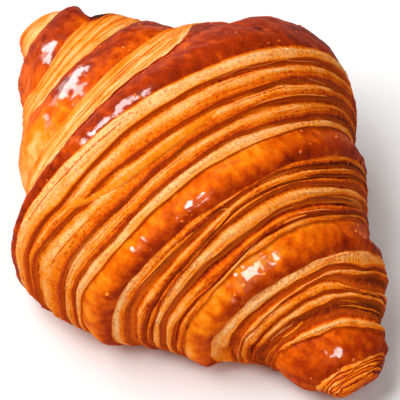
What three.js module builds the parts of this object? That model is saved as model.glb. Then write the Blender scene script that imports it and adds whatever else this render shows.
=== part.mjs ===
// A croissant: one rolled, baked piece that lies on its flat underside.
// Sizes in millimetres. Z is up and X runs along the roll, towards the tip with the open cut edges.
import * as THREE from "three";

// Cross-sections of the roll, from one tip to the other.
// x: place along the roll. side: shift of the middle in Y. half: half width.
// top and foot: heights of the crest and the underside.
// yaw and lean: how far the flanks and the crest run ahead of the middle.
const SECTIONS = [
  { x: -70.5, side: 1.8, half: 0.0, top: 12.0, foot: 12.0, yaw: 0.0, lean: 0.0 },
  { x: -69.5, side: 1.8, half: 6.0, top: 15.5, foot: 8.0, yaw: -1.0, lean: 1.0 },
  { x: -66.0, side: 2.1, half: 8.3, top: 19.1, foot: 5.5, yaw: -3.0, lean: 2.5 },
  { x: -51.0, side: 0.1, half: 18.1, top: 28.6, foot: 3.0, yaw: -7.0, lean: 4.0 },
  { x: -35.5, side: -0.9, half: 26.8, top: 35.7, foot: 1.4, yaw: -8.0, lean: 4.3 },
  { x: -19.5, side: -0.5, half: 37.4, top: 46.2, foot: -0.7, yaw: -9.0, lean: 3.7 },
  { x: -6.0, side: 0.3, half: 47.8, top: 55.1, foot: -0.9, yaw: -6.5, lean: 1.4 },
  { x: 8.0, side: -0.6, half: 50.2, top: 61.4, foot: -1.3, yaw: 1.0, lean: -2.0 },
  { x: 26.0, side: -2.1, half: 41.0, top: 52.8, foot: -0.7, yaw: -1.2, lean: 2.0 },
  { x: 33.0, side: -0.5, half: 36.9, top: 49.3, foot: -1.1, yaw: -1.0, lean: 3.0 },
  { x: 44.5, side: 0.8, half: 28.0, top: 39.2, foot: 0.7, yaw: -0.5, lean: 2.3 },
  { x: 52.0, side: 3.4, half: 23.1, top: 32.9, foot: 2.8, yaw: 0.3, lean: 1.8 },
  { x: 65.0, side: 2.0, half: 13.0, top: 20.6, foot: 5.0, yaw: 4.2, lean: 1.0 },
  { x: 72.0, side: 2.9, half: 9.5, top: 15.1, foot: 6.6, yaw: 0.5, lean: 0.8 },
  { x: 76.0, side: 2.0, half: 6.0, top: 13.0, foot: 8.5, yaw: 0.0, lean: 0.3 },
  { x: 77.0, side: 2.0, half: 0.0, top: 10.8, foot: 10.8, yaw: 0.0, lean: 0.0 },
];

// Angles round the roll at which the layers are measured: low on the left
// flank, the left shoulder, the crest and the right shoulder.
const STATIONS = [-85, -45, 0, 45].map(THREE.MathUtils.degToRad);

// Crust and layers in order along the roll. from: where each one starts at the
// four stations. gap: width of the groove at its edge. depth: of that groove.
// skin: crust; near and far: a layer whose cut edge faces +X or -X.
const BANDS = [
  { kind: "far", from: [-70.3, -70.3, -70.3, -70.3], gap: [0.3, 0.3, 0.3, 0.3], depth: 0.3 },
  { kind: "far", from: [-68.2, -68.4, -68.4, -68.2], gap: [0.5, 0.5, 0.5, 0.5], depth: 0.5 },
  { kind: "skin", from: [-64.9, -65.0, -64.6, -65.2], edge: "low", swell: 1.2 },
  { kind: "far", from: [-52.4, -50.0, -52.5, -53.5], gap: [1.2, 1.2, 1.2, 1.8], depth: 1.5 },
  { kind: "far", from: [-49.4, -48.6, -50.2, -51.0], gap: [0.5, 0.6, 0.5, 0.7], depth: 0.35 },
  { kind: "far", from: [-47.2, -46.4, -47.0, -47.8], gap: [0.4, 0.4, 0.6, 0.6], depth: 0.25 },
  { kind: "far", from: [-45.0, -44.0, -43.4, -43.6], gap: [0.5, 0.5, 0.4, 0.5], depth: 0.25 },
  { kind: "skin", from: [-43.2, -41.5, -40.0, -39.8], edge: "low", swell: 2.0 },
  { kind: "far", from: [-27.2, -25.8, -26.0, -26.0], gap: [1.0, 0.9, 0.9, 0.9], depth: 1.5 },
  { kind: "far", from: [-24.0, -23.3, -23.2, -24.4], gap: [0.7, 0.6, 0.6, 0.6], depth: 0.8 },
  { kind: "far", from: [-18.5, -18.2, -18.8, -23.2], gap: [0.5, 0.4, 0.4, 0.5], depth: 0.15 },
  { kind: "far", from: [-14.0, -13.6, -15.0, -22.4], gap: [0.5, 0.4, 0.4, 0.5], depth: 0.15 },
  { kind: "skin", from: [-9.6, -8.8, -10.2, -21.5], edge: "both", swell: 0.5 },
  { kind: "skin", from: [-9.2, -8.4, -9.8, -16.0], edge: "both", swell: 1.1 },
  { kind: "near", from: [6.2, 8.4, 9.8, 9.3], gap: [2.3, 1.1, 1.0, 1.6], depth: 1.6 },
  { kind: "near", from: [11.4, 13.2, 12.4, 12.8], gap: [0.6, 1.1, 0.7, 1.6], depth: 1.4 },
  { kind: "near", from: [13.0, 16.7, 16.9, 17.3], gap: [1.0, 0.9, 1.0, 1.4], depth: 1.5 },
  { kind: "near", from: [19.3, 20.9, 20.4, 20.3], gap: [1.1, 0.6, 0.6, 1.4], depth: 1.3 },
  { kind: "near", from: [22.2, 23.6, 23.3, 24.3], gap: [0.4, 0.4, 0.4, 0.4], depth: 1.1 },
  { kind: "skin", from: [23.9, 25.9, 25.7, 26.5], edge: "high", swell: 1.3 },
  { kind: "near", from: [30.4, 31.8, 32.7, 33.4], gap: [2.2, 1.6, 0.9, 0.9], depth: 1.2 },
  { kind: "near", from: [34.5, 34.9, 33.7, 35.3], gap: [1.1, 1.0, 0.7, 0.9], depth: 1.3 },
  { kind: "near", from: [37.0, 37.0, 35.4, 37.3], gap: [0.1, 0.1, 0.8, 0.9], depth: 1.1 },
  { kind: "near", from: [37.7, 37.45, 36.5, 39.2], gap: [1.4, 1.7, 1.5, 1.9], depth: 1.2 },
  { kind: "near", from: [40.0, 40.9, 40.6, 42.4], gap: [1.4, 1.0, 0.9, 1.1], depth: 1.3 },
  { kind: "near", from: [42.4, 43.2, 42.6, 44.3], gap: [0.3, 0.3, 0.3, 0.3], depth: 1.0 },
  { kind: "skin", from: [43.9, 44.0, 43.8, 45.3], edge: "high", swell: 1.3 },
  { kind: "near", from: [48.9, 50.4, 51.4, 52.7], gap: [2.8, 2.4, 1.7, 0.9], depth: 1.6 },
  { kind: "near", from: [54.2, 54.3, 54.3, 55.2], gap: [0.1, 0.1, 0.9, 2.8], depth: 1.1 },
  { kind: "near", from: [54.6, 54.9, 55.4, 58.7], gap: [1.3, 1.3, 1.2, 0.2], depth: 1.2 },
  { kind: "near", from: [57.8, 58.0, 57.5, 59.2], gap: [4.0, 3.9, 3.5, 3.1], depth: 1.1 },
  { kind: "near", from: [62.9, 63.0, 62.3, 62.9], gap: [0.3, 0.3, 0.3, 0.3], depth: 0.9 },
  { kind: "skin", from: [63.5, 63.9, 64.2, 64.8], edge: "high", swell: 1.1 },
  { kind: "near", from: [71.6, 71.6, 72.0, 71.9], gap: [0.5, 0.5, 0.5, 0.5], depth: 0.5 },
  { kind: "near", from: [73.9, 74.0, 74.1, 74.2], gap: [0.4, 0.4, 0.4, 0.4], depth: 0.4 },
];

// How far each crust's crest lies towards its own cut edge.
const CREST_SKEW = { low: 1.2, high: 1.6, both: 1 };

// Hollows pressed into the crust: place, angle, reach along and round, depth.
// A negative depth is a bulge.
const HOLLOWS = [
  { x: -55.3, angle: 60, along: 3.0, round: 18, depth: 5.4 },
  { x: 51.3, angle: -103, along: 1.4, round: 11, depth: 4.0 },
  { x: 58.5, angle: -90, along: 4.0, round: 14, depth: 1.2 },
  { x: 20, angle: 118, along: 3, round: 14, depth: 1.5 },
  { x: -31.6, angle: 56, along: 5.3, round: 22, depth: 3.6 },
  { x: -12.5, angle: 46, along: 4.7, round: 20, depth: 1.7 },
  { x: -66, angle: -90, along: 3, round: 20, depth: 0.4 },
  { x: 8.5, angle: -105, along: 6, round: 22, depth: 0.5 },
  { x: 38.7, angle: -112, along: 4, round: 18, depth: 1.1 },
  { x: 58.8, angle: -122, along: 4.8, round: 22, depth: 1.2 },
  { x: 10, angle: 88, along: 5, round: 25, depth: 1.2 },
  { x: 28.3, angle: 85, along: 2.5, round: 21, depth: 1.6 },
  { x: 48.5, angle: 66, along: 2.4, round: 19, depth: 2.6 },
  { x: -57.8, angle: 72, along: 2.5, round: 16, depth: 1.3 },
  { x: 56.5, angle: 80, along: 3, round: 16, depth: -1.4 },
  { x: 74.6, angle: -100, along: 2.8, round: 32, depth: 2.0 },
];

const BELT = 0.42;          // height of the widest line, as a share of the section
const FLANK_POWER = 0.75;   // how squarely the lower flanks turn in
const FOOT_POWER = 0.55;    // how flat the underside is
const ROUND_STEPS = 40;     // facets round the roll
const NARROWEST = 0.35;     // least width of any band
const CREASE = 1.2;         // depth at which crust slips under the next wrap
const SKIN_RINGS = [0, 0.12, 0.35, 0.65, 0.9];
const TREAD_RINGS = [0, 0.4, 1];
const GAP_RINGS = [0.35];

const smooth = (t) => THREE.MathUtils.smoothstep(t, 0, 1);

/** Value and slope-matched blend of one column of SECTIONS at a place along the roll. */
function column(key) {
  const xs = SECTIONS.map((section) => section.x);
  const ys = SECTIONS.map((section) => section[key]);
  const last = xs.length - 1;
  const rise = ys.slice(1).map((y, i) => (y - ys[i]) / (xs[i + 1] - xs[i]));
  const slope = ys.map((_, i) => {
    if (i === 0 || i === last) return rise[Math.min(i, last - 1)];
    if (rise[i - 1] * rise[i] <= 0) return 0;
    const before = xs[i] - xs[i - 1];
    const after = xs[i + 1] - xs[i];
    const w1 = 2 * after + before;
    const w2 = after + 2 * before;
    return (w1 + w2) / (w1 / rise[i - 1] + w2 / rise[i]);
  });
  return (x) => {
    const place = THREE.MathUtils.clamp(x, xs[0], xs[last]);
    const i = Math.max(0, Math.min(last - 1, xs.findIndex((edge) => edge > place) - 1));
    const k = place >= xs[last] ? last - 1 : i;
    const span = xs[k + 1] - xs[k];
    const t = (place - xs[k]) / span;
    const t2 = t * t;
    const t3 = t2 * t;
    return (2 * t3 - 3 * t2 + 1) * ys[k] + (t3 - 2 * t2 + t) * span * slope[k]
      + (3 * t2 - 2 * t3) * ys[k + 1] + (t3 - t2) * span * slope[k + 1];
  };
}

const section = Object.fromEntries(
  ["side", "half", "top", "foot", "yaw", "lean"].map((key) => [key, column(key)]),
);

/** Point of the plain roll, before its layers are cut in. */
function rollPoint(x, angle) {
  const top = section.top(x);
  const foot = section.foot(x);
  const belt = foot + BELT * (top - foot);
  const c = Math.cos(angle);
  const s = Math.sin(angle);
  const upper = c >= 0;
  const drop = Math.abs(c) ** FOOT_POWER;
  const reach = upper ? s : Math.sign(s) * Math.abs(s) ** FLANK_POWER;
  const ahead = upper ? c : -drop * (belt - foot) / Math.max(top - belt, 0.001);
  return new THREE.Vector3(
    x + section.yaw(x) * s + section.lean(x) * ahead,
    section.side(x) + section.half(x) * reach,
    upper ? belt + (top - belt) * c : belt - (belt - foot) * drop,
  );
}

/** Outward direction of the plain roll. */
function rollNormal(x, angle) {
  const d = 0.01;
  const along = rollPoint(x + d, angle).sub(rollPoint(x - d, angle));
  const round = rollPoint(x, angle + d).sub(rollPoint(x, angle - d));
  return along.cross(round).normalize();
}

/** Blend of the values at the four stations, smooth all the way round. */
function roundBlend(values, angle) {
  const turn = 2 * Math.PI;
  const from = THREE.MathUtils.euclideanModulo(angle - STATIONS[0], turn);
  const stops = [...STATIONS.map((station) => station - STATIONS[0]), turn];
  const i = stops.findIndex((stop) => stop > from) - 1;
  const t = smooth((from - stops[i]) / (stops[i + 1] - stops[i]));
  return THREE.MathUtils.lerp(values[i], values[(i + 1) % values.length], t);
}

/** Small unevenness of a band's start round the roll. */
function wobble(index, angle) {
  return 0.16 * Math.sin(5 * angle + 1.7 * index) + 0.1 * Math.sin(9 * angle + 2.3 * index);
}

/** Where every band starts at one angle, each at least NARROWEST after the last. */
function bandStarts(angle) {
  const starts = [];
  BANDS.forEach((band, i) => {
    const start = roundBlend(band.from, angle) + wobble(i, angle);
    starts.push(i === 0 ? band.from[0] : Math.max(start, starts[i - 1] + NARROWEST));
  });
  return [...starts, SECTIONS[SECTIONS.length - 1].x - 0.1];
}

/** Height of the crust over the plain roll, by how far across it (0 to 1). */
function skinHeight(band, u) {
  const fromCrease = band.edge === "low" ? 1 - u : u;
  const under = band.edge === "both" ? 0 : CREASE * (1 - smooth(fromCrease / 0.3));
  const crest = fromCrease ** CREST_SKEW[band.edge];
  return band.swell * Math.sin(Math.PI * crest) ** 0.8 - under;
}

/** Height of a layer: a soft rise out of the groove before it, up to its lip. */
function treadHeight(u, before) {
  return 0.25 * Math.sin(Math.PI * Math.min(u, 0.9)) - before * (1 - smooth(u / 0.45));
}

/** One ring for each place across each band: where it runs and how high. */
function ringPlan() {
  const plan = [];
  BANDS.forEach((band, i) => {
    if (band.kind === "skin") {
      SKIN_RINGS.forEach((u) => plan.push({ i, u, part: "skin" }));
    } else if (band.kind === "near") {
      TREAD_RINGS.forEach((u) => plan.push({ i, u, part: "tread" }));
      GAP_RINGS.forEach((u) => plan.push({ i, u, part: "gap" }));
    } else {
      GAP_RINGS.forEach((u) => plan.push({ i, u, part: "gap" }));
      TREAD_RINGS.forEach((u) => plan.push({ i, u: 1 - u, part: "tread" }));
    }
  });
  return plan;
}

/** Place along the roll and height of one ring of the plan at one angle. */
function ringAt({ i, u, part }, angle, starts) {
  const band = BANDS[i];
  const start = starts[i];
  const width = starts[i + 1] - start;
  if (part === "skin") return { x: start + u * width, height: skinHeight(band, u) };

  const gap = Math.min(roundBlend(band.gap, angle), 0.8 * width);
  const tread = width - gap;
  const near = band.kind === "near";
  const depth = band.depth * Math.min(1, gap / 0.5);
  if (part === "gap") {
    const x = near ? start + tread + u * gap : start + (1 - u) * gap;
    return { x, height: -depth };
  }
  const before = BANDS[near ? i - 1 : i + 1];
  const rise = before && before.kind === band.kind ? before.depth * Math.min(1, width / 2) : 0;
  const x = near ? start + u * tread : start + width - u * tread;
  return { x, height: treadHeight(u, rise) };
}

/** Extra depth of the pressed hollows. */
function hollowDepth(x, angle) {
  return HOLLOWS.reduce((sum, hollow) => {
    const turn = THREE.MathUtils.euclideanModulo(
      THREE.MathUtils.radToDeg(angle) - hollow.angle + 180, 360) - 180;
    const far = ((x - hollow.x) / hollow.along) ** 2 + (turn / hollow.round) ** 2;
    return sum + hollow.depth * Math.exp(-far);
  }, 0);
}

/** Vertex of the finished crust; the underside stays plain and flat. */
function crustPoint(ring, angle, starts) {
  const { x, height } = ringAt(ring, angle, starts);
  const point = rollPoint(x, angle);
  const under = smooth((Math.abs(angle) - 2.0) / 0.6);
  const lift = (height - hollowDepth(x, angle)) * (1 - 0.9 * under);
  const slim = Math.min(1, section.half(x) / 6);
  point.addScaledVector(rollNormal(x, angle), lift * slim);
  point.z = Math.max(point.z, 0);
  return point;
}

/** The whole closed surface: rings of vertices between two end points. */
function croissantGeometry() {
  const angles = Array.from({ length: ROUND_STEPS },
    (_, j) => -Math.PI + (2 * Math.PI * j) / ROUND_STEPS);
  const starts = angles.map(bandStarts);
  const plan = ringPlan();
  const points = [rollPoint(SECTIONS[0].x, 0)];
  plan.forEach((ring) => {
    angles.forEach((angle, j) => points.push(crustPoint(ring, angle, starts[j])));
  });
  points.push(rollPoint(SECTIONS[SECTIONS.length - 1].x, 0));

  const index = [];
  const at = (ring, j) => 1 + ring * ROUND_STEPS + (j % ROUND_STEPS);
  const lastRing = plan.length - 1;
  const end = points.length - 1;
  for (let j = 0; j < ROUND_STEPS; j += 1) {
    index.push(0, at(0, j), at(0, j + 1));
    for (let i = 0; i < lastRing; i += 1) {
      index.push(at(i, j), at(i + 1, j), at(i, j + 1));
      index.push(at(i, j + 1), at(i + 1, j), at(i + 1, j + 1));
    }
    index.push(end, at(lastRing, j + 1), at(lastRing, j));
  }

  const geometry = new THREE.BufferGeometry().setFromPoints(points);
  geometry.setIndex(index);
  geometry.computeBoundingBox();
  const middle = geometry.boundingBox.getCenter(new THREE.Vector3());
  geometry.translate(-middle.x, -middle.y, -geometry.boundingBox.min.z);
  geometry.computeVertexNormals();
  return geometry;
}

const crust = new THREE.MeshStandardMaterial({ color: 0xc8741f, roughness: 0.55, metalness: 0 });
const croissant = new THREE.Mesh(croissantGeometry(), crust);
croissant.name = "croissant";

const model = new THREE.Group();
model.add(croissant);

export default model;
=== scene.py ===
"""A croissant, dressed for rendering: crust, cut layers, blisters, threads and flakes.

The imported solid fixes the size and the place. The pieces made here stand for it
with the same rolled form at a finer scale. Sizes are in millimetres and turn into
metres when a mesh is made. Angles run from the crest, positive towards +Y. They are
in degrees in the tables and where a name says so, and otherwise in radians.
"""

from __future__ import annotations

import logging
import math
from dataclasses import dataclass, field
from enum import Enum
from typing import Any

import bpy
import numpy as np
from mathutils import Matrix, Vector
from mathutils.bvhtree import BVHTree

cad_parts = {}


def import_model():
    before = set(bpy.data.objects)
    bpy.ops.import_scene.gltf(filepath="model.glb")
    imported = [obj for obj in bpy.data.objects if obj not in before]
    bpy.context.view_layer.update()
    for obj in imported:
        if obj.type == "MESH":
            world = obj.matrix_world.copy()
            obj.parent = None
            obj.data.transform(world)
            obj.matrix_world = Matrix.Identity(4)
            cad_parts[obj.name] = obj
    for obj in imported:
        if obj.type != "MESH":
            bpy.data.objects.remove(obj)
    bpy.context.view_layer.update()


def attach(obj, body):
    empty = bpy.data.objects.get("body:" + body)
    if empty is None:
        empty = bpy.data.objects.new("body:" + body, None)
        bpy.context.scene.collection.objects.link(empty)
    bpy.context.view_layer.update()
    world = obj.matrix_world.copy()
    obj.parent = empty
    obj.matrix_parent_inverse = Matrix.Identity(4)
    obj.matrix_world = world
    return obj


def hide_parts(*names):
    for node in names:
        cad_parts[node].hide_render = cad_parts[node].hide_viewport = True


LOG = logging.getLogger("croissant")
MM = 0.001
NODE = "croissant"
MIDDLE = (2.956, -0.147, 0.0)  # middle of the roll's box in the sizes below
LOOKS = ("bake", "crumb", "groove", "gloss")  # what each point tells the finish

Four = tuple[float, float, float, float]  # one value for each station round the roll
Point = tuple[float, float, float]
Pair = tuple[float, float]


# Sizes of the roll


@dataclass(frozen=True)
class Section:
    """Cross-section of the roll at one place along it.

    side is the place of its middle, half its half width, top and foot its heights.
    yaw and lean are how far the flanks and the crest are pushed along the roll.
    """

    x: float
    side: float
    half: float
    top: float
    foot: float
    yaw: float
    lean: float


SECTIONS = (
    Section(-70.5, 1.8, 0.0, 12.0, 12.0, 0.0, 0.0),
    Section(-69.5, 1.8, 6.0, 15.5, 8.0, -1.0, 1.0),
    Section(-66.0, 2.1, 8.3, 19.1, 5.5, -3.0, 2.5),
    Section(-51.0, 0.1, 18.1, 28.6, 3.0, -7.0, 4.0),
    Section(-35.5, -0.9, 26.8, 35.7, 1.4, -8.0, 4.3),
    Section(-19.5, -0.5, 37.4, 46.2, -0.7, -9.0, 3.7),
    Section(-6.0, 0.3, 47.8, 55.1, -0.9, -6.5, 1.4),
    Section(8.0, -0.6, 50.2, 61.4, -1.3, 1.0, -2.0),
    Section(26.0, -2.1, 41.0, 52.8, -0.7, -1.2, 2.0),
    Section(33.0, -0.5, 36.9, 49.3, -1.1, -1.0, 3.0),
    Section(44.5, 0.8, 28.0, 39.2, 0.7, -0.5, 2.3),
    Section(52.0, 3.4, 23.1, 32.9, 2.8, 0.3, 1.8),
    Section(65.0, 2.0, 13.0, 20.6, 5.0, 4.2, 1.0),
    Section(72.0, 2.9, 9.5, 15.1, 6.6, 0.5, 0.8),
    Section(76.0, 2.0, 6.0, 13.0, 8.5, 0.0, 0.3),
    Section(77.0, 2.0, 0.0, 10.8, 10.8, 0.0, 0.0),
)
ROLL_END = SECTIONS[-1].x - 0.1  # where the last layer stops, just short of its pole


class Kind(Enum):
    """What a band of the roll is."""

    SKIN = "crust"
    NEAR = "layer whose cut edge faces +X"
    FAR = "layer whose cut edge faces -X"


class Lip(Enum):
    """Which border of a crust band is its own cut edge."""

    LOW = "towards -X"
    HIGH = "towards +X"
    BOTH = "both"


@dataclass(frozen=True)
class Band:
    """Crust or one layer. Starts and grooves are given at the four stations.

    bake runs from cream crumb (0) to the darkest crust (1). toast is added towards a
    layer's lip, and flank_bake on the near flank. floor is the bake of the groove, partly
    its toasting and partly painted shade in the recess, and crease_bake that of crust where
    it slips under its neighbour. coarse is the share of open crumb.
    """

    kind: Kind
    start: Four
    gap: Four = (0.0, 0.0, 0.0, 0.0)
    depth: float = 0.0
    lip: Lip = Lip.HIGH
    swell: float = 0.0
    bake: float = 0.06
    toast: float = 0.0
    floor: float = 0.6
    crease_bake: float = 0.42
    flank_bake: float = 0.0
    coarse: float = 1.0


def skin(start: Four, lip: Lip, swell: float, bake: float, crease_bake: float,
         flank_bake: float) -> Band:
    """Return a band of crust."""
    return Band(Kind.SKIN, start, lip=lip, swell=swell, bake=bake,
                crease_bake=crease_bake, flank_bake=flank_bake)


def near(start: Four, gap: Four, depth: float, bake: float = 0.06, toast: float = 0.0,
         floor: float = 0.6, flank_bake: float = 0.0, coarse: float = 1.0) -> Band:
    """Return a layer whose cut edge faces +X."""
    return Band(Kind.NEAR, start, gap, depth, bake=bake, toast=toast, floor=floor,
                flank_bake=flank_bake, coarse=coarse)


def far(start: Four, gap: Four, depth: float, bake: float = 0.1, toast: float = 0.0,
        floor: float = 0.45, coarse: float = 0.35) -> Band:
    """Return a layer whose cut edge faces -X."""
    return Band(Kind.FAR, start, gap, depth, bake=bake, toast=toast, floor=floor,
                coarse=coarse)


BANDS = (
    far((-70.3, -70.3, -70.3, -70.3), (0.12, 0.12, 0.12, 0.12), 0.1, 0.3, coarse=0.05),
    far((-68.2, -68.4, -68.4, -68.2), (0.16, 0.16, 0.16, 0.16), 0.25, 0.22, coarse=0.05),
    skin((-64.9, -65.0, -64.6, -65.2), Lip.LOW, 1.2, 0.86, 0.74, -0.16),
    far((-52.4, -50.0, -52.5, -53.5), (0.62, 0.62, 0.62, 1.6), 1.5, 0.27, 0.0, 0.5),
    far((-49.4, -48.6, -50.2, -51.0), (0.25, 0.3, 0.25, 0.35), 0.35, 0.24),
    far((-47.2, -46.4, -47.0, -47.8), (0.2, 0.2, 0.3, 0.3), 0.25, 0.2),
    far((-45.0, -44.0, -43.4, -43.6), (0.25, 0.25, 0.2, 0.25), 0.25, 0.18),
    skin((-43.2, -41.5, -40.0, -39.8), Lip.LOW, 2.0, 0.84, 0.64, -0.37),
    far((-27.2, -25.8, -26.0, -26.0), (0.5, 0.45, 0.45, 0.45), 1.5, 0.3, 0.0, 0.62),
    far((-24.0, -23.3, -23.2, -24.4), (0.35, 0.3, 0.3, 0.3), 0.8, 0.12, 0.0, 0.5),
    far((-18.5, -18.2, -18.8, -23.2), (0.25, 0.2, 0.2, 0.25), 0.15, 0.1, 0.0, 0.2),
    far((-14.0, -13.6, -15.0, -22.4), (0.25, 0.2, 0.2, 0.25), 0.15, 0.08, 0.0, 0.18),
    skin((-9.6, -8.8, -10.2, -21.5), Lip.BOTH, 0.5, 0.8, 0.74, -0.04),
    skin((-9.2, -8.4, -9.8, -16.0), Lip.BOTH, 1.1, 0.83, 0.77, -0.04),
    near((6.2, 8.4, 9.8, 9.3), (1.2, 0.45, 0.4, 0.75), 1.5, flank_bake=0.08),
    near((11.4, 13.2, 12.4, 12.8), (0.3, 0.45, 0.3, 0.72), 1.3, 0.1, 0.26, flank_bake=0.06),
    near((13.0, 16.7, 16.9, 17.3), (0.3, 0.25, 0.35, 0.62), 1.4, 0.12, 0.28, flank_bake=-0.04),
    near((19.3, 20.9, 20.4, 20.3), (0.3, 0.15, 0.15, 0.4), 1.2, 0.16, 0.3, flank_bake=-0.14),
    near((22.2, 23.6, 23.3, 24.3), (0.12, 0.12, 0.12, 0.12), 0.9, 0.07),
    skin((23.9, 25.9, 25.7, 26.5), Lip.HIGH, 1.3, 0.8, 0.54, -0.06),
    near((30.4, 31.8, 32.7, 33.4), (2.0, 1.3, 0.75, 0.5), 1.1, 0.4, 0.34, flank_bake=-0.42),
    near((34.5, 34.9, 33.7, 35.3), (0.6, 0.6, 0.35, 0.5), 1.2, 0.2, 0.28),
    near((37.0, 37.0, 35.4, 37.3), (0.1, 0.1, 0.8, 0.6), 1.0, 0.42),
    near((37.7, 37.45, 36.5, 39.2), (1.0, 1.5, 1.2, 1.7), 1.1, 0.16, 0.0, 0.74, flank_bake=-0.06),
    near((40.0, 40.9, 40.6, 42.4), (0.8, 0.25, 0.45, 0.55), 1.2, 0.46, 0.08, flank_bake=-0.3,
         coarse=0.6),
    near((42.4, 43.2, 42.6, 44.3), (0.1, 0.1, 0.1, 0.1), 0.8, 0.3, flank_bake=0.1),
    skin((43.9, 44.0, 43.8, 45.3), Lip.HIGH, 1.3, 0.74, 0.5, -0.02),
    near((48.9, 50.4, 51.4, 52.7), (2.6, 2.2, 1.4, 0.35), 1.4, 0.12, 0.0, 0.68),
    near((54.2, 54.3, 54.3, 55.2), (0.1, 0.1, 0.85, 2.6), 1.0, 0.16),
    near((54.6, 54.9, 55.4, 58.7), (0.9, 0.9, 0.7, 0.1), 1.1, 0.18, 0.12, 0.72),
    near((57.8, 58.0, 57.5, 59.2), (4.0, 3.9, 3.5, 3.1), 1.1, 0.15, 0.0, 0.76, flank_bake=0.34),
    near((62.9, 63.0, 62.3, 62.9), (0.1, 0.1, 0.1, 0.1), 0.7, 0.2, flank_bake=0.32),
    skin((63.5, 63.9, 64.2, 64.8), Lip.HIGH, 1.1, 0.75, 0.64, 0.02),
    near((71.6, 71.6, 72.0, 71.9), (0.15, 0.15, 0.15, 0.15), 0.4, 0.3, coarse=0.25),
    near((72.4, 72.4, 72.7, 72.7), (0.15, 0.15, 0.15, 0.15), 0.4, 0.4, coarse=0.25),
    near((73.1, 73.2, 73.4, 73.5), (0.15, 0.15, 0.15, 0.15), 0.4, 0.26, coarse=0.25),
    near((73.9, 74.0, 74.1, 74.2), (0.15, 0.15, 0.15, 0.15), 0.3, 0.42, coarse=0.25),
    near((74.7, 74.7, 74.8, 74.9), (0.15, 0.15, 0.15, 0.15), 0.3, 0.3, coarse=0.25),
    near((75.6, 75.6, 75.7, 75.7), (0.15, 0.15, 0.15, 0.15), 0.3, 0.4, coarse=0.25),
)


@dataclass(frozen=True)
class Spot:
    """A soft-edged place on the roll: its middle, its reach both ways and its strength."""

    x: float
    degrees: float
    along: float
    around: float
    strength: float = 1.0

    def away(self, x: np.ndarray, degrees: np.ndarray) -> np.ndarray:
        """Return the squared distance from the middle, counted in reaches."""
        turn = np.mod(degrees - self.degrees + 180, 360) - 180
        return ((x - self.x) / self.along) ** 2 + (turn / self.around) ** 2


CREVICE = Spot(-50.9, 41.0, 2.0, 19.0)  # darker, between the far tip and its first wrap

# Where the egg wash lies thick and shines
SHEENS = (
    Spot(-54.0, -28, 3.4, 10, 0.95),
    Spot(-54.0, -8, 1.2, 3, 0.7),
    Spot(-33.3, -26, 3.0, 13, 1.0),
    Spot(-27.0, -26, 4.0, 5, 0.7),
    Spot(-29.5, -48, 3.6, 4, 0.5),
    Spot(7.2, -24, 1.3, 16, 0.8),
    Spot(29.6, -22, 0.8, 7, 0.85),
    Spot(28.4, -47, 0.9, 3, 0.7),
    Spot(27.2, -4, 1.0, 4, 0.5),
    Spot(46.4, -26, 1.8, 14, 1.0),
    Spot(68.9, -13, 1.3, 8, 1.0),
)

# Dents pressed into the roll. The strength is the depth, below 0 for a bulge.
DENTS = (
    Spot(-55.3, 60, 3.0, 18, 5.4),
    Spot(51.3, -103, 1.4, 11, 4.0),
    Spot(58.5, -90, 4.0, 14, 1.2),
    Spot(20, 118, 3, 14, 1.5),
    Spot(-31.6, 56, 5.3, 22, 3.6),
    Spot(-12.5, 46, 4.7, 20, 1.7),
    Spot(-66, -90, 3, 20, 0.4),
    Spot(8.5, -105, 6, 22, 0.5),
    Spot(38.7, -112, 4, 18, 1.1),
    Spot(58.8, -122, 4.8, 22, 1.2),
    Spot(10, 88, 5, 25, 1.2),
    Spot(28.3, 85, 2.5, 21, 1.6),
    Spot(48.5, 66, 2.4, 19, 2.6),
    Spot(-57.8, 72, 2.5, 16, 1.3),
    Spot(56.5, 80, 3, 16, -1.4),
    Spot(74.6, -100, 2.8, 32, 2.0),
)


# Shape helpers


def smooth(t: Any) -> np.ndarray:
    """Return the smooth step of t, from 0 at 0 to 1 at 1."""
    t = np.clip(t, 0.0, 1.0)
    return t * t * (3 - 2 * t)


def eased(value: Any, start: float, width: float) -> np.ndarray:
    """Return a smooth rise that begins at the start and takes the width."""
    return smooth((value - start) / width)


def peak(value: float, top: float, reach: float) -> float:
    """Return a ridge: 1 at the top, and 0 from the reach on."""
    return max(0.0, 1 - abs(value - top) / reach)


@dataclass(frozen=True)
class Ruffle:
    """Smooth unevenness with a fixed seed. drawn below 1 draws it out along the roll."""

    grain: float
    seed: int
    drawn: float = 1.0
    waves: int = 26

    def at(self, points: np.ndarray) -> np.ndarray:
        """Return values of about -2 to 2.

        Args:
            points: Places in millimetres, three columns last.

        Returns:
            One value for each place.
        """
        draw = np.random.default_rng(self.seed)
        headings = draw.normal(size=(self.waves, 3))
        headings /= np.linalg.norm(headings, axis=1, keepdims=True)
        pitch = self.grain * draw.uniform(0.75, 1.5, self.waves)
        turns = draw.uniform(0, 2 * math.pi, self.waves)
        points = points * (self.drawn, 1, 1)
        total = np.zeros(points.shape[:-1])
        for heading, length, turn in zip(headings, pitch, turns):
            total += np.cos(points @ (heading * 2 * math.pi / length) + turn)
        return total * math.sqrt(2 / self.waves)


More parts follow.
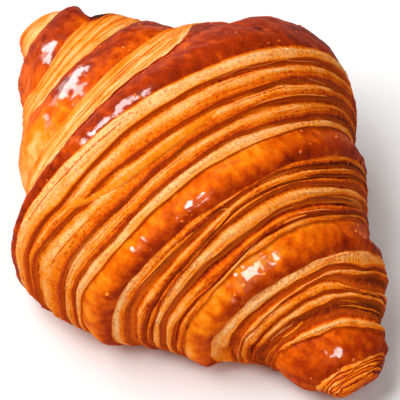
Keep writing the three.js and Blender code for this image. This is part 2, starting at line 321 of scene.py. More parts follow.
@dataclass
class RollForm:
    """The plain roll before its layers are cut in."""

    belt: float = 0.42
    flank_power: float = 0.75
    foot_power: float = 0.55
    thinnest: float = 0.001
    columns: dict[str, tuple[np.ndarray, np.ndarray]] = field(default_factory=dict)

    def __post_init__(self) -> None:
        """Work out the slope of each size at each section."""
        self.xs = np.array([section.x for section in SECTIONS])
        for key in ("side", "half", "top", "foot", "yaw", "lean"):
            ys = np.array([getattr(section, key) for section in SECTIONS])
            self.columns[key] = (ys, self._slopes(self.xs, ys))

    @staticmethod
    def _slopes(xs: np.ndarray, ys: np.ndarray) -> np.ndarray:
        """Return slopes that add no bump between the sections.

        Args:
            xs: Places of the sections.
            ys: One size at each of them.

        Returns:
            The slope at each section.
        """
        step = np.diff(xs)
        rise = np.diff(ys) / step
        slopes = np.concatenate([rise[:1], np.zeros(len(xs) - 2), rise[-1:]])
        for i in range(1, len(xs) - 1):
            if rise[i - 1] * rise[i] > 0:
                w1 = 2 * step[i] + step[i - 1]
                w2 = step[i] + 2 * step[i - 1]
                slopes[i] = (w1 + w2) / (w1 / rise[i - 1] + w2 / rise[i])
        return slopes

    def size(self, key: str, x: np.ndarray) -> np.ndarray:
        """Return one size of the roll.

        Args:
            key: Name of the size, as in Section.
            x: Places along the roll.

        Returns:
            The size at each place.
        """
        ys, slopes = self.columns[key]
        x = np.clip(x, self.xs[0], self.xs[-1])
        i = np.clip(np.searchsorted(self.xs, x, side="right") - 1, 0, len(self.xs) - 2)
        span = self.xs[i + 1] - self.xs[i]
        t = (x - self.xs[i]) / span
        t2, t3 = t * t, t**3
        return (
            (2 * t3 - 3 * t2 + 1) * ys[i]
            + (t3 - 2 * t2 + t) * span * slopes[i]
            + (3 * t2 - 2 * t3) * ys[i + 1]
            + (t3 - t2) * span * slopes[i + 1]
        )

    def point(self, x: np.ndarray, angle: np.ndarray) -> np.ndarray:
        """Return points of the plain roll.

        Args:
            x: Places along the roll.
            angle: Angles from the crest.

        Returns:
            The points, with three columns last.
        """
        top, foot = self.size("top", x), self.size("foot", x)
        belt = foot + self.belt * (top - foot)
        c, s = np.cos(angle), np.sin(angle)
        upper = c >= 0
        drop = np.abs(c) ** self.foot_power
        reach = np.where(upper, s, np.sign(s) * np.abs(s) ** self.flank_power)
        ahead = np.where(upper, c, -drop * (belt - foot) / np.maximum(top - belt, self.thinnest))
        height = np.where(upper, belt + (top - belt) * c, belt - (belt - foot) * drop)
        return np.stack([
            x + self.size("yaw", x) * s + self.size("lean", x) * ahead,
            self.size("side", x) + self.size("half", x) * reach,
            height,
        ], axis=-1)

    def normal(self, x: np.ndarray, angle: np.ndarray) -> np.ndarray:
        """Return outward directions of the plain roll.

        Args:
            x: Places along the roll.
            angle: Angles from the crest.

        Returns:
            Unit vectors, with three columns last.
        """
        d = 0.01
        along = self.point(x + d, angle) - self.point(x - d, angle)
        around = self.point(x, angle + d) - self.point(x, angle - d)
        out = np.cross(along, around)
        return out / np.maximum(np.linalg.norm(out, axis=-1, keepdims=True), 1e-9)


@dataclass
class Layering:
    """Where the bands run, and where the roll is dented."""

    stations: Four = (-85, -45, 0, 45)
    narrowest: float = 0.35
    # Size, waves round the roll and shift from band to band of each wobble of a border
    wobbles: tuple[tuple[float, float, float], ...] = (
        (0.16, 5, 1.7), (0.1, 9, 2.3), (0.07, 17, 4.1), (0.03, 31, 2.9))
    tip_calm: float = 0.2

    def round_blend(self, values: Four, angle: np.ndarray) -> np.ndarray:
        """Blend the values at the stations all the way round.

        Args:
            values: One value at each station.
            angle: Angles from the crest.

        Returns:
            The blended value at each angle.
        """
        first = math.radians(self.stations[0])
        stops = np.radians([s - self.stations[0] for s in self.stations] + [360])
        turned = np.mod(angle - first, 2 * math.pi)
        i = np.clip(np.searchsorted(stops, turned, side="right") - 1, 0, len(values) - 1)
        t = smooth((turned - stops[i]) / (stops[i + 1] - stops[i]))
        ring = np.array([*values, values[0]])
        return ring[i] + (ring[i + 1] - ring[i]) * t

    def starts(self, angle: np.ndarray) -> list[np.ndarray]:
        """Return where every band starts at each angle, and where the last ends.

        Args:
            angle: Angles from the crest.

        Returns:
            One array for each band and one more.
        """
        found = [np.full_like(angle, BANDS[0].start[0])]
        for i, band in enumerate(BANDS[1:], 1):
            wobble = sum(size * np.sin(waves * angle + shift * i)
                         for size, waves, shift in self.wobbles)
            calm = min(1.0, self.tip_calm * (1 + i))
            start = self.round_blend(band.start, angle) + calm * wobble
            found.append(np.maximum(start, found[-1] + self.narrowest))
        return [*found, np.full_like(angle, ROLL_END)]

    def hollow(self, x: np.ndarray, angle: np.ndarray) -> np.ndarray:
        """Return the extra depth of the dents at these places."""
        degrees = np.degrees(angle)
        return sum(dent.strength * np.exp(-dent.away(x, degrees)) for dent in DENTS)


@dataclass
class Rings:
    """Rings of the finished surface, one row a ring and one column an angle."""

    x: np.ndarray
    height: np.ndarray
    bake: np.ndarray
    crumb: np.ndarray
    groove: np.ndarray
    gloss: np.ndarray

    @classmethod
    def spread(cls, x: np.ndarray, *rest: Any) -> Rings:
        """Return rings at these places. The rest, in the fields' order, may be numbers."""
        return cls(x, *(np.broadcast_to(value, x.shape) for value in rest))

    @classmethod
    def join(cls, parts: list[Rings]) -> Rings:
        """Return the rings of several bands in one grid."""
        return cls(*(np.concatenate([getattr(part, key) for part in parts])
                     for key in ("x", "height", *LOOKS)))

    def rows(self, chosen: slice) -> Rings:
        """Return some of the rings, in the order of the slice."""
        return Rings(*(getattr(self, key)[chosen] for key in ("x", "height", *LOOKS)))


@dataclass(frozen=True)
class Cut:
    """A layer and the groove beyond its lip, with its sizes at each angle."""

    band: Band
    start: np.ndarray
    end: np.ndarray
    gap: np.ndarray
    depth: np.ndarray
    behind: np.ndarray
    grooved: bool

    @property
    def tread(self) -> np.ndarray:
        """Return the width from the layer's back to its lip."""
        return self.end - self.start - self.gap

    @property
    def way(self) -> int:
        """Return which way the cut edge faces along the roll, 1 or -1."""
        return 1 if self.band.kind is Kind.NEAR else -1

    def place(self, distance: np.ndarray) -> np.ndarray:
        """Return a ring's places, at this distance from the layer's back."""
        return (self.start + distance if self.way > 0 else self.end - distance)[None, :]


@dataclass(frozen=True)
class Relief:
    """How high each unevenness of the surface stands, in millimetres."""

    lump: float = 0.2
    dimple: float = 0.09
    pimple: float = 0.03
    wrinkle: float = 0.07
    crease: float = 0.55
    arch: float = 0.2
    lip: float = 0.1
    crumb: float = 0.13
    fringe: float = 0.1
    leaf: float = 0.05
    open_leaf: float = 0.12
    fray: float = 0.04


@dataclass(frozen=True)
class BrowningAndShade:
    """How much browning and painted shade add to the bake, where the bands don't give it."""

    crevice_dark: float = 0.9
    # painted shade on the crust's +Y side, away from the lights
    crust_painted_shade: float = 0.34
    crust_cloud: float = 0.035
    lip: float = 0.14
    near_rim: float = 0.22
    far_rim: float = 0.12
    # painted shade at the back of each tread, where it dips into the groove behind
    back: float = 0.46
    leaf: float = -0.05
    patch: float = 0.11
    foot: float = 0.24
    # painted shade on the +Y side of the layers and of their grooves
    layer_painted_shade: float = 0.13
    groove_painted_shade: float = 0.26
    groove_leaf: float = -0.07
    # painted shadow in the groove just beyond each lip
    lip_shadow: float = 0.2


@dataclass(frozen=True)
class Across:
    """Where things change across a band, from its back or crease (0) to its lip (1).

    Each gives the place at which a change starts, and the width that it takes.
    """

    crease: Pair = (0.0, 0.2)
    crease_line: Pair = (0.0, 0.05)
    low_lip: Pair = (0.05, 0.62)
    high_lip: Pair = (0.3, 0.62)
    climb: Pair = (0.0, 0.62)
    back: Pair = (0.04, 0.36)
    fringe: Pair = (0.2, 0.2)
    toast: Pair = (0.3, 0.55)
    closing: Pair = (0.8, 0.18)
    rim: Pair = (0.86, 0.12)
    lip_shadow: Pair = (0.3, 0.35)


@dataclass
class BandMaker:
    """Shapes each band: crust, or a layer with the groove at its cut edge."""

    form: RollForm
    layering: Layering
    angle: np.ndarray
    relief: Relief = Relief()
    brown: BrowningAndShade = BrowningAndShade()
    across: Across = Across()
    skin_rings: int = 26
    crest_skew: dict[Lip, float] = field(default_factory=lambda: {
        Lip.LOW: 1.2, Lip.HIGH: 1.6, Lip.BOTH: 1.0})
    tread_steps: tuple[float, ...] = (
        0, 0.06, 0.13, 0.22, 0.33, 0.45, 0.57, 0.68, 0.78, 0.86, 0.92, 0.96, 1.0)
    gap_steps: tuple[float, ...] = (0.08, 0.22, 0.38, 0.54, 0.7, 0.86)
    thin_gloss: float = 0.006
    bare_gloss: float = 0.1
    sheen_edge: float = 0.45
    roundness: float = 0.8
    crease_line: float = 0.8
    widest_gap: float = 0.8
    full_gap: float = 0.5
    full_tread: float = 1.5
    overhang: float = 0.1
    waver: float = 0.03

    def __post_init__(self) -> None:
        """Place the bands and set up the sides and the grains of the surface."""
        self.starts = self.layering.starts(self.angle)
        self.degrees = np.degrees(self.angle)
        # The two +Y masks below place painted shade on the side away from the lights.
        self.crust_flank = eased(-self.degrees, 15, 50)
        self.crust_painted_shade = eased(self.degrees, 8, 45)
        self.layer_flank = eased(-self.degrees, 42, 26)
        self.layer_painted_shade = eased(self.degrees, 5, 50)
        self.layer_foot = eased(np.abs(self.degrees), 62, 60)
        self.wavy = Ruffle(9.0, 11)
        self.frayed = Ruffle(1.2, 12)
        self.crumbly = Ruffle(0.95, 13)
        self.lumpy = Ruffle(16.0, 14)
        self.wrinkled = Ruffle(2.2, 15, drawn=0.25)
        self.pimpled = Ruffle(1.7, 16)
        self.dimpled = Ruffle(4.5, 17)
        self.leafy = Ruffle(0.8, 18)
        self.patchy = Ruffle(7.0, 19)
        self.streaked = Ruffle(2.6, 20, drawn=0.45)
        self.mottled = Ruffle(2.4, 21, drawn=0.6)

    def rings(self, index: int) -> Rings:
        """Return the rings of one band, from low x to high x."""
        return self._skin(index) if BANDS[index].kind is Kind.SKIN else self._layer(index)

    def _base(self, x: np.ndarray) -> np.ndarray:
        """Return plain points under rings at these places."""
        return self.form.point(x, np.broadcast_to(self.angle, x.shape))

    def _gloss(self, x: np.ndarray, base: np.ndarray) -> np.ndarray:
        """Return how thick the egg wash lies, in patches with ragged borders.

        Args:
            x: Places of the rings.
            base: Plain points under them.

        Returns:
            The gloss at each place.
        """
        outline = 1.15 + 0.2 * self.streaked.at(base) + 0.1 * self.frayed.at(base)
        gloss = np.full_like(x, self.thin_gloss)
        for spot in SHEENS:
            inside = outline - np.sqrt(spot.away(x, self.degrees))
            gloss = np.maximum(gloss, spot.strength * smooth(inside / self.sheen_edge))
        return gloss

    def _crevice_dark(self, x: np.ndarray) -> np.ndarray:
        """Return how much the crevice darkens rings at these places."""
        return np.exp(-CREVICE.away(x, self.degrees) ** 2)

    def _unrolled(self, base: np.ndarray, across: np.ndarray, start: np.ndarray) -> np.ndarray:
        """Return places on a layer laid flat and squeezed, which draws a grain out along it.

        Args:
            base: Plain points under the ring.
            across: Distance of the ring from the layer's back or lip.
            start: Where the layer starts at each angle.

        Returns:
            The places, with three columns last.
        """
        core_height, squeeze, apart = 20, 0.07, 3.1
        around = np.hypot(base[..., 1], base[..., 2] - core_height) * self.angle
        return np.stack([np.broadcast_to(across, around.shape), squeeze * around,
                         np.full_like(around, apart * start.mean())], axis=-1)

    def _skin(self, index: int) -> Rings:
        """Return the rings of a band of crust.

        Args:
            index: Place of the band in BANDS.

        Returns:
            Its rings, from low x to high x.
        """
        band, relief, brown, across = BANDS[index], self.relief, self.brown, self.across
        u = np.linspace(0, 1, self.skin_rings, endpoint=False)[:, None]
        start, end = self.starts[index], self.starts[index + 1]
        x = start + u * (end - start)
        base = self._base(x)
        gloss = self._gloss(x, base)

        from_crease = 1 - u if band.lip is Lip.LOW else u
        single = band.lip is not Lip.BOTH
        creased = single * (1 - eased(from_crease, *across.crease))
        crest = from_crease ** self.crest_skew[band.lip]
        height = band.swell * np.sin(math.pi * crest) ** self.roundness - relief.crease * creased
        height = height + relief.lump * self.lumpy.at(base)
        height = height + relief.dimple * (1 - 0.55 * gloss) * self.dimpled.at(base)
        height = height + relief.pimple * (1 - 0.5 * gloss) * self.pimpled.at(base)
        height = height + relief.wrinkle * creased * self.wrinkled.at(base)

        to_lip = eased(from_crease, *(across.low_lip if band.lip is Lip.LOW else across.high_lip))
        bake = band.crease_bake + (band.bake - band.crease_bake) * to_lip
        bake = bake + band.flank_bake * self.crust_flank * (1 - 0.5 * from_crease**4)
        # Painted shade: darker on the +Y side, away from the lights.
        bake = bake + brown.crust_painted_shade * self.crust_painted_shade * (1 - bake)
        bake = bake + brown.crust_cloud * (self.patchy.at(base) + self.mottled.at(base))
        bake = bake + brown.crevice_dark * self._crevice_dark(x)
        # Painted shade: a thin dark line along the crease where the crust slips under its
        # neighbour.
        groove = self.crease_line * single * (1 - eased(from_crease, *across.crease_line))
        return Rings.spread(x, height, bake, 0.0, groove, gloss)

    def _layer(self, index: int) -> Rings:
        """Return the rings of a layer and of the groove at its cut edge.

        Args:
            index: Place of the band in BANDS.

        Returns:
            Its rings, from low x to high x.
        """
        band = BANDS[index]
        start, end = self.starts[index], self.starts[index + 1]
        width = end - start
        gap = self.layering.round_blend(band.gap, self.angle)
        gap = np.minimum(gap, self.widest_gap * width)
        depth = band.depth * np.minimum(1, gap / self.full_gap)
        neighbour = index - 1 if band.kind is Kind.NEAR else index + 1
        other = BANDS[neighbour] if 0 <= neighbour < len(BANDS) else None
        grooved = other is not None and other.kind is band.kind
        behind = (other.depth if grooved else 0.0) * np.minimum(1, width / 2)
        cut = Cut(band, start, end, gap, depth, behind, grooved)
        rings = Rings.join([self._tread(cut, u) for u in self.tread_steps]
                           + [self._gap(cut, v) for v in self.gap_steps])
        return rings if cut.way > 0 else rings.rows(slice(None, None, -1))

    def _tread(self, cut: Cut, u: float) -> Rings:
        """Return one ring of a layer's tread.

        Args:
            cut: The layer.
            u: How far across the tread, from its back (0) to its lip (1).

        Returns:
            A single ring.
        """
        band, relief, brown, across = cut.band, self.relief, self.brown, self.across
        x = cut.place(u * cut.tread)
        base = self._base(x)
        edge = u**6
        inside = max(0.0, 1 - edge * 1.4)
        slack = np.minimum(1, cut.tread / self.full_tread)
        overhang = self.overhang + self.waver * self.wavy.at(base)
        x = x + cut.way * edge * slack * overhang

        leaves = self.leafy.at(self._unrolled(base, u * cut.tread, cut.start))
        patches = np.clip(0.5 + 0.4 * self.patchy.at(base), 0, 1)
        leaf_height = min(1.0, 0.25 + 3 * band.coarse)
        crumbs = relief.crumb * self.crumbly.at(base) * (0.4 + 0.6 * patches)
        fringe = relief.fringe * peak(u, *across.fringe) * self.frayed.at(base)
        height = relief.arch * math.sin(math.pi * min(u, 0.8)) + relief.lip * edge
        height = height - cut.behind * (1 - eased(u, *across.climb)) + slack * inside * (
            band.coarse * (crumbs + fringe)
            + leaf_height * (relief.leaf + relief.open_leaf * (1 - patches)) * leaves)

        # Painted shade: back, at the tread's back, and the +Y term, away from the lights.
        back = cut.grooved * (1 - eased(u, *across.back))
        rim = brown.near_rim if cut.way > 0 else brown.far_rim
        bake = band.bake + (band.toast + brown.lip) * eased(u, *across.toast)
        bake = bake + brown.back * back + rim * eased(u, *across.rim)
        bake = bake + brown.leaf * inside * leaves + brown.patch * (patches - 0.5)
        bake = (bake + band.flank_bake * self.layer_flank
                + brown.foot * self.layer_foot * (1 - bake)
                + brown.layer_painted_shade * self.layer_painted_shade + brown.crevice_dark * self._crevice_dark(x))
        crumb = band.coarse * (1.0 - 0.8 * eased(u, *across.closing)) * (1 - 0.4 * back)
        return Rings.spread(x, height, bake, crumb, 0.0, self.bare_gloss)

    def _gap(self, cut: Cut, v: float) -> Rings:
        """Return one ring of the groove beyond a layer's lip.

        Args:
            cut: The layer.
            v: How far across the groove, from the lip (0).

        Returns:
            A single ring.
        """
        relief, brown, across = self.relief, self.brown, self.across
        x = cut.place(cut.tread + v * cut.gap)
        base = self._base(x)
        wide = eased(cut.gap, 1.2, 1.5)
        belly = 0.45 * wide * math.sin(math.pi * v)
        leaves = wide * self.leafy.at(self._unrolled(base, v * cut.gap, cut.start))
        height = relief.fray * self.frayed.at(base) + relief.open_leaf * leaves
        height = height - cut.depth * (min(1.0, 0.5 + v * 1.6) - belly)

        # Painted shade: a shadow line just beyond the lip, and darker grooves on the +Y side.
        lip_shadow = peak(v, *across.lip_shadow)
        crevice_dark = self._crevice_dark(x)
        bake = cut.band.floor + brown.groove_painted_shade * self.layer_painted_shade
        bake = bake + brown.groove_leaf * leaves + brown.lip_shadow * lip_shadow
        groove = (1 - 0.85 * wide * (1 - (2 * v - 1) ** 2)) * np.minimum(1, cut.depth / 0.9)
        groove = groove * (1 - 0.55 * lip_shadow) * (1 - crevice_dark)
        return Rings.spread(x, height, bake + brown.crevice_dark * crevice_dark, 0.3 * wide, groove,
                            self.bare_gloss)


# Node-tree helpers


class Graph:
    """Adds nodes to one node tree."""

    def __init__(self, tree: bpy.types.NodeTree) -> None:
        """Start with an empty tree."""
        self.tree = tree
        tree.nodes.clear()

    def node(
        self,
        kind: str,
        settings: dict[str, Any] | None = None,
        inputs: dict[str | int, Any] | None = None,
    ) -> bpy.types.Node:
        """Add a node.

        Args:
            kind: Blender's name for the node's type.
            settings: Properties, set first. "stops" sets a colour ramp.
            inputs: Values or links, by socket name or number.

        Returns:
            The new node.
        """
        made = self.tree.nodes.new(kind)
        for name, value in (settings or {}).items():
            if name == "stops":
                self._ramp(made, value)
            else:
                setattr(made, name, value)
        for name, value in (inputs or {}).items():
            self.feed(made.inputs[name], value)
        return made

    def first(self, kind: str, inputs: dict[str | int, Any]) -> bpy.types.NodeSocket:
        """Add a node without settings and return its first output."""
        return self.node(kind, {}, inputs).outputs[0]

    def feed(self, socket: bpy.types.NodeSocket, value: Any) -> None:
        """Link a socket, or set its constant.

        Args:
            socket: The socket.
            value: A wire, a socket or a constant.
        """
        if isinstance(value, Wire):
            value = value.socket
        if isinstance(value, bpy.types.NodeSocket):
            self.tree.links.new(value, socket)
        else:
            socket.default_value = value

    @staticmethod
    def _ramp(made: bpy.types.Node, stops: tuple[tuple[float, Point], ...]) -> None:
        """Set the stops of a colour ramp.

        Args:
            made: The ramp's node.
            stops: Place and colour of each stop.
        """
        elements = made.color_ramp.elements
        while len(elements) > 1:
            elements.remove(elements[-1])
        elements[0].position, elements[0].color = stops[0][0], (*stops[0][1], 1)
        for place, colour in stops[1:]:
            elements.new(place).color = (*colour, 1)


@dataclass(frozen=True)
class Wire:
    """A number that flows through a node tree, with arithmetic."""

    graph: Graph
    socket: bpy.types.NodeSocket

    def _math(self, operation: str, *values: Any) -> Wire:
        """Add a Math node and return its result."""
        made = self.graph.node("ShaderNodeMath", {"operation": operation},
                               dict(enumerate(values)))
        return Wire(self.graph, made.outputs[0])

    def __add__(self, other: Any) -> Wire:
        """Add."""
        return self._math("ADD", self, other)

    def __radd__(self, other: Any) -> Wire:
        """Add, reflected."""
        return self._math("ADD", other, self)

    def __sub__(self, other: Any) -> Wire:
        """Subtract."""
        return self._math("SUBTRACT", self, other)

    def __rsub__(self, other: Any) -> Wire:
        """Subtract, reflected."""
        return self._math("SUBTRACT", other, self)

    def __mul__(self, other: Any) -> Wire:
        """Multiply."""
        return self._math("MULTIPLY", self, other)

    def __rmul__(self, other: Any) -> Wire:
        """Multiply, reflected."""
        return self._math("MULTIPLY", other, self)

    def clamp(self, low: float = 0.0, high: float = 1.0) -> Wire:
        """Keep the number between two limits."""
        return self._math("MINIMUM", self._math("MAXIMUM", self, low), high)

    def step(self, low: float, high: float) -> Wire:
        """Rise smoothly from 0 at low to 1 at high.

        Args:
            low: Number at which the rise starts.
            high: Number at which it ends.

        Returns:
            The rise.
        """
        made = self.graph.node("ShaderNodeMapRange", {"interpolation_type": "SMOOTHSTEP"},
                               {"Value": self, "From Min": low, "From Max": high})
        return Wire(self.graph, made.outputs[0])


class Shaper:
    """A Geometry Nodes tree with named inputs, run once on an object."""

    SOCKETS = {float: "NodeSocketFloat", int: "NodeSocketInt",
               bpy.types.Material: "NodeSocketMaterial", bpy.types.Object: "NodeSocketObject"}

    def __init__(self, name: str, inputs: dict[str, Any]) -> None:
        """Start a tree that takes a mesh and these values, one of them its Finish.

        Args:
            name: Name of the tree.
            inputs: Its inputs and their values.
        """
        self.tree = bpy.data.node_groups.new(name, "GeometryNodeTree")
        self.graph = Graph(self.tree)
        self.inputs = inputs
        self._socket("Mesh", "INPUT", "NodeSocketGeometry")
        self._socket("Mesh", "OUTPUT", "NodeSocketGeometry")
        for label, value in inputs.items():
            self._socket(label, "INPUT", self.SOCKETS[type(value)])
        self.entry = self.graph.node("NodeGroupInput").outputs

    def _socket(self, label: str, way: str, kind: str) -> None:
        """Add an input or output to the tree."""
        self.tree.interface.new_socket(label, in_out=way, socket_type=kind)

    def wire(self, label: str) -> Wire:
        """Return an input as a number."""
        return Wire(self.graph, self.entry[label])

    def stored(self, label: str, kind: str = "FLOAT") -> Wire:
        """Return a value stored on the mesh.

        Args:
            label: Its name.
            kind: Blender's name for its type.

        Returns:
            The value.
        """
        made = self.graph.node("GeometryNodeInputNamedAttribute", {"data_type": kind},
                               {"Name": label})
        return Wire(self.graph, made.outputs["Attribute"])

    def store(self, shapes: Any, label: str, value: Any) -> bpy.types.NodeSocket:
        """Return the instances with a number stored on each.

        Args:
            shapes: The instances.
            label: Name of the number.
            value: The number.

        Returns:
            The same instances.
        """
        settings = {"data_type": "FLOAT", "domain": "INSTANCE"}
        return self.graph.node("GeometryNodeStoreNamedAttribute", settings, {
            "Geometry": shapes, "Name": label, "Value": value}).outputs["Geometry"]

    def draw(self, low: Any, high: Any, seed: int) -> Wire:
        """Return a random number for each thing.

        Args:
            low: Smallest number.
            high: Largest number.
            seed: Tells the draws of one tree apart.

        Returns:
            The number.
        """
        made = self.graph.node("FunctionNodeRandomValue", {"data_type": "FLOAT"})
        for socket in made.inputs:
            if socket.enabled and socket.name in ("Min", "Max", "Seed"):
                self.graph.feed(socket, {"Min": low, "Max": high, "Seed": seed}[socket.name])
        return Wire(self.graph, next(out for out in made.outputs if out.enabled))

    def scatter(self, density: Wire) -> Any:
        """Return the outputs of points spread at random over the mesh, by Crowd and Seed.

        Args:
            density: Share of Crowd at each place.

        Returns:
            The outputs of the node that spreads them.
        """
        return self.graph.node(
            "GeometryNodeDistributePointsOnFaces", {"distribute_method": "RANDOM"}, {
                "Mesh": self.entry["Mesh"], "Seed": self.entry["Seed"],
                "Density": self.wire("Crowd") * density}).outputs

    def place(self, points: Any, shape: Any, turned: Any, *size: Wire) -> bpy.types.NodeSocket:
        """Return a shape at each point.

        Args:
            points: The points.
            shape: The shape.
            turned: Its rotation.
            size: Its scale along X, Y and Z.

        Returns:
            The instances.
        """
        scale = self.graph.first("ShaderNodeCombineXYZ", dict(enumerate(size)))
        return self.graph.first("GeometryNodeInstanceOnPoints", {
            "Points": points, "Instance": shape, "Rotation": turned, "Scale": scale})

    def run(self, base: bpy.types.Object, shapes: Any) -> bpy.types.Object:
        """Finish the tree, run it on an object and return the result in its place.

        Args:
            base: The object that the tree works on. Its name goes to the result.
            shapes: Link that carries the shape.

        Returns:
            An object with a plain mesh and no modifiers.
        """
        real = self.graph.first("GeometryNodeRealizeInstances", {"Geometry": shapes})
        real = self.graph.first("GeometryNodeSetShadeSmooth", {"Geometry": real})
        dressed = self.graph.first("GeometryNodeSetMaterial", {
            "Geometry": real, "Material": self.entry["Finish"]})
        self.graph.node("NodeGroupOutput", {}, {"Mesh": dressed})
        modifier = base.modifiers.new(self.tree.name, "NODES")
        modifier.node_group = self.tree
        for item in self.tree.interface.items_tree:
            if item.in_out == "INPUT" and item.name in self.inputs:
                modifier[item.identifier] = self.inputs[item.name]
        bpy.context.view_layer.update()
        seen = base.evaluated_get(bpy.context.evaluated_depsgraph_get())
        made = bpy.data.meshes.new_from_object(seen)
        base.modifiers.remove(modifier)
        base.data = made
        return base


def add_object(name: str, data: Any) -> bpy.types.Object:
    """Return a new object that holds the data, in the scene.

    Args:
        name: Its name.
        data: Mesh, camera or light.

    Returns:
        The object.
    """
    made = bpy.data.objects.new(name, data)
    bpy.context.collection.objects.link(made)
    return made


def mesh_object(
    name: str,
    points: list[Point],
    faces: list[tuple[int, ...]],
    edges: list[tuple[int, int]] | None = None,
    values: dict[str, Any] | None = None,
    soft: bool = True,
) -> bpy.types.Object:
    """Return an object with a new mesh.

    Args:
        name: Its name.
        points: Places in metres.
        faces: Its faces, as numbers of points.
        edges: Its edges, where it has no faces.
        values: Numbers or vectors to store on the points, by name.
        soft: Whether it is shaded smooth.

    Returns:
        The object.
    """
    mesh = bpy.data.meshes.new(name)
    mesh.from_pydata(points, edges or [], faces)
    for key, value in (values or {}).items():
        rows = np.asarray(value, dtype=np.float32)
        kind, label = ("FLOAT", "value") if rows.ndim == 1 else ("FLOAT_VECTOR", "vector")
        mesh.attributes.new(key, kind, "POINT").data.foreach_set(label, rows.ravel())
    if soft:
        mesh.shade_smooth()
    return add_object(name, mesh)


# Materials


def display(red: int, green: int, blue: int) -> Point:
    """Return a linear colour from one given as it shows on a screen, 0 to 255.

    Args:
        red: Red.
        green: Green.
        blue: Blue.

    Returns:
        Its three channels in linear light.
    """
    def linear(value: int) -> float:
        """Return one channel in linear light."""
        share = value / 255
        return share / 12.92 if share <= 0.04045 else ((share + 0.055) / 1.055) ** 2.4

    return linear(red), linear(green), linear(blue)


def new_material(name: str) -> tuple[bpy.types.Material, Graph]:
    """Return a material and its empty node tree.

    Args:
        name: Name of the material.

    Returns:
        Both.
    """
    material = bpy.data.materials.new(name)
    material.use_nodes = True
    return material, Graph(material.node_tree)


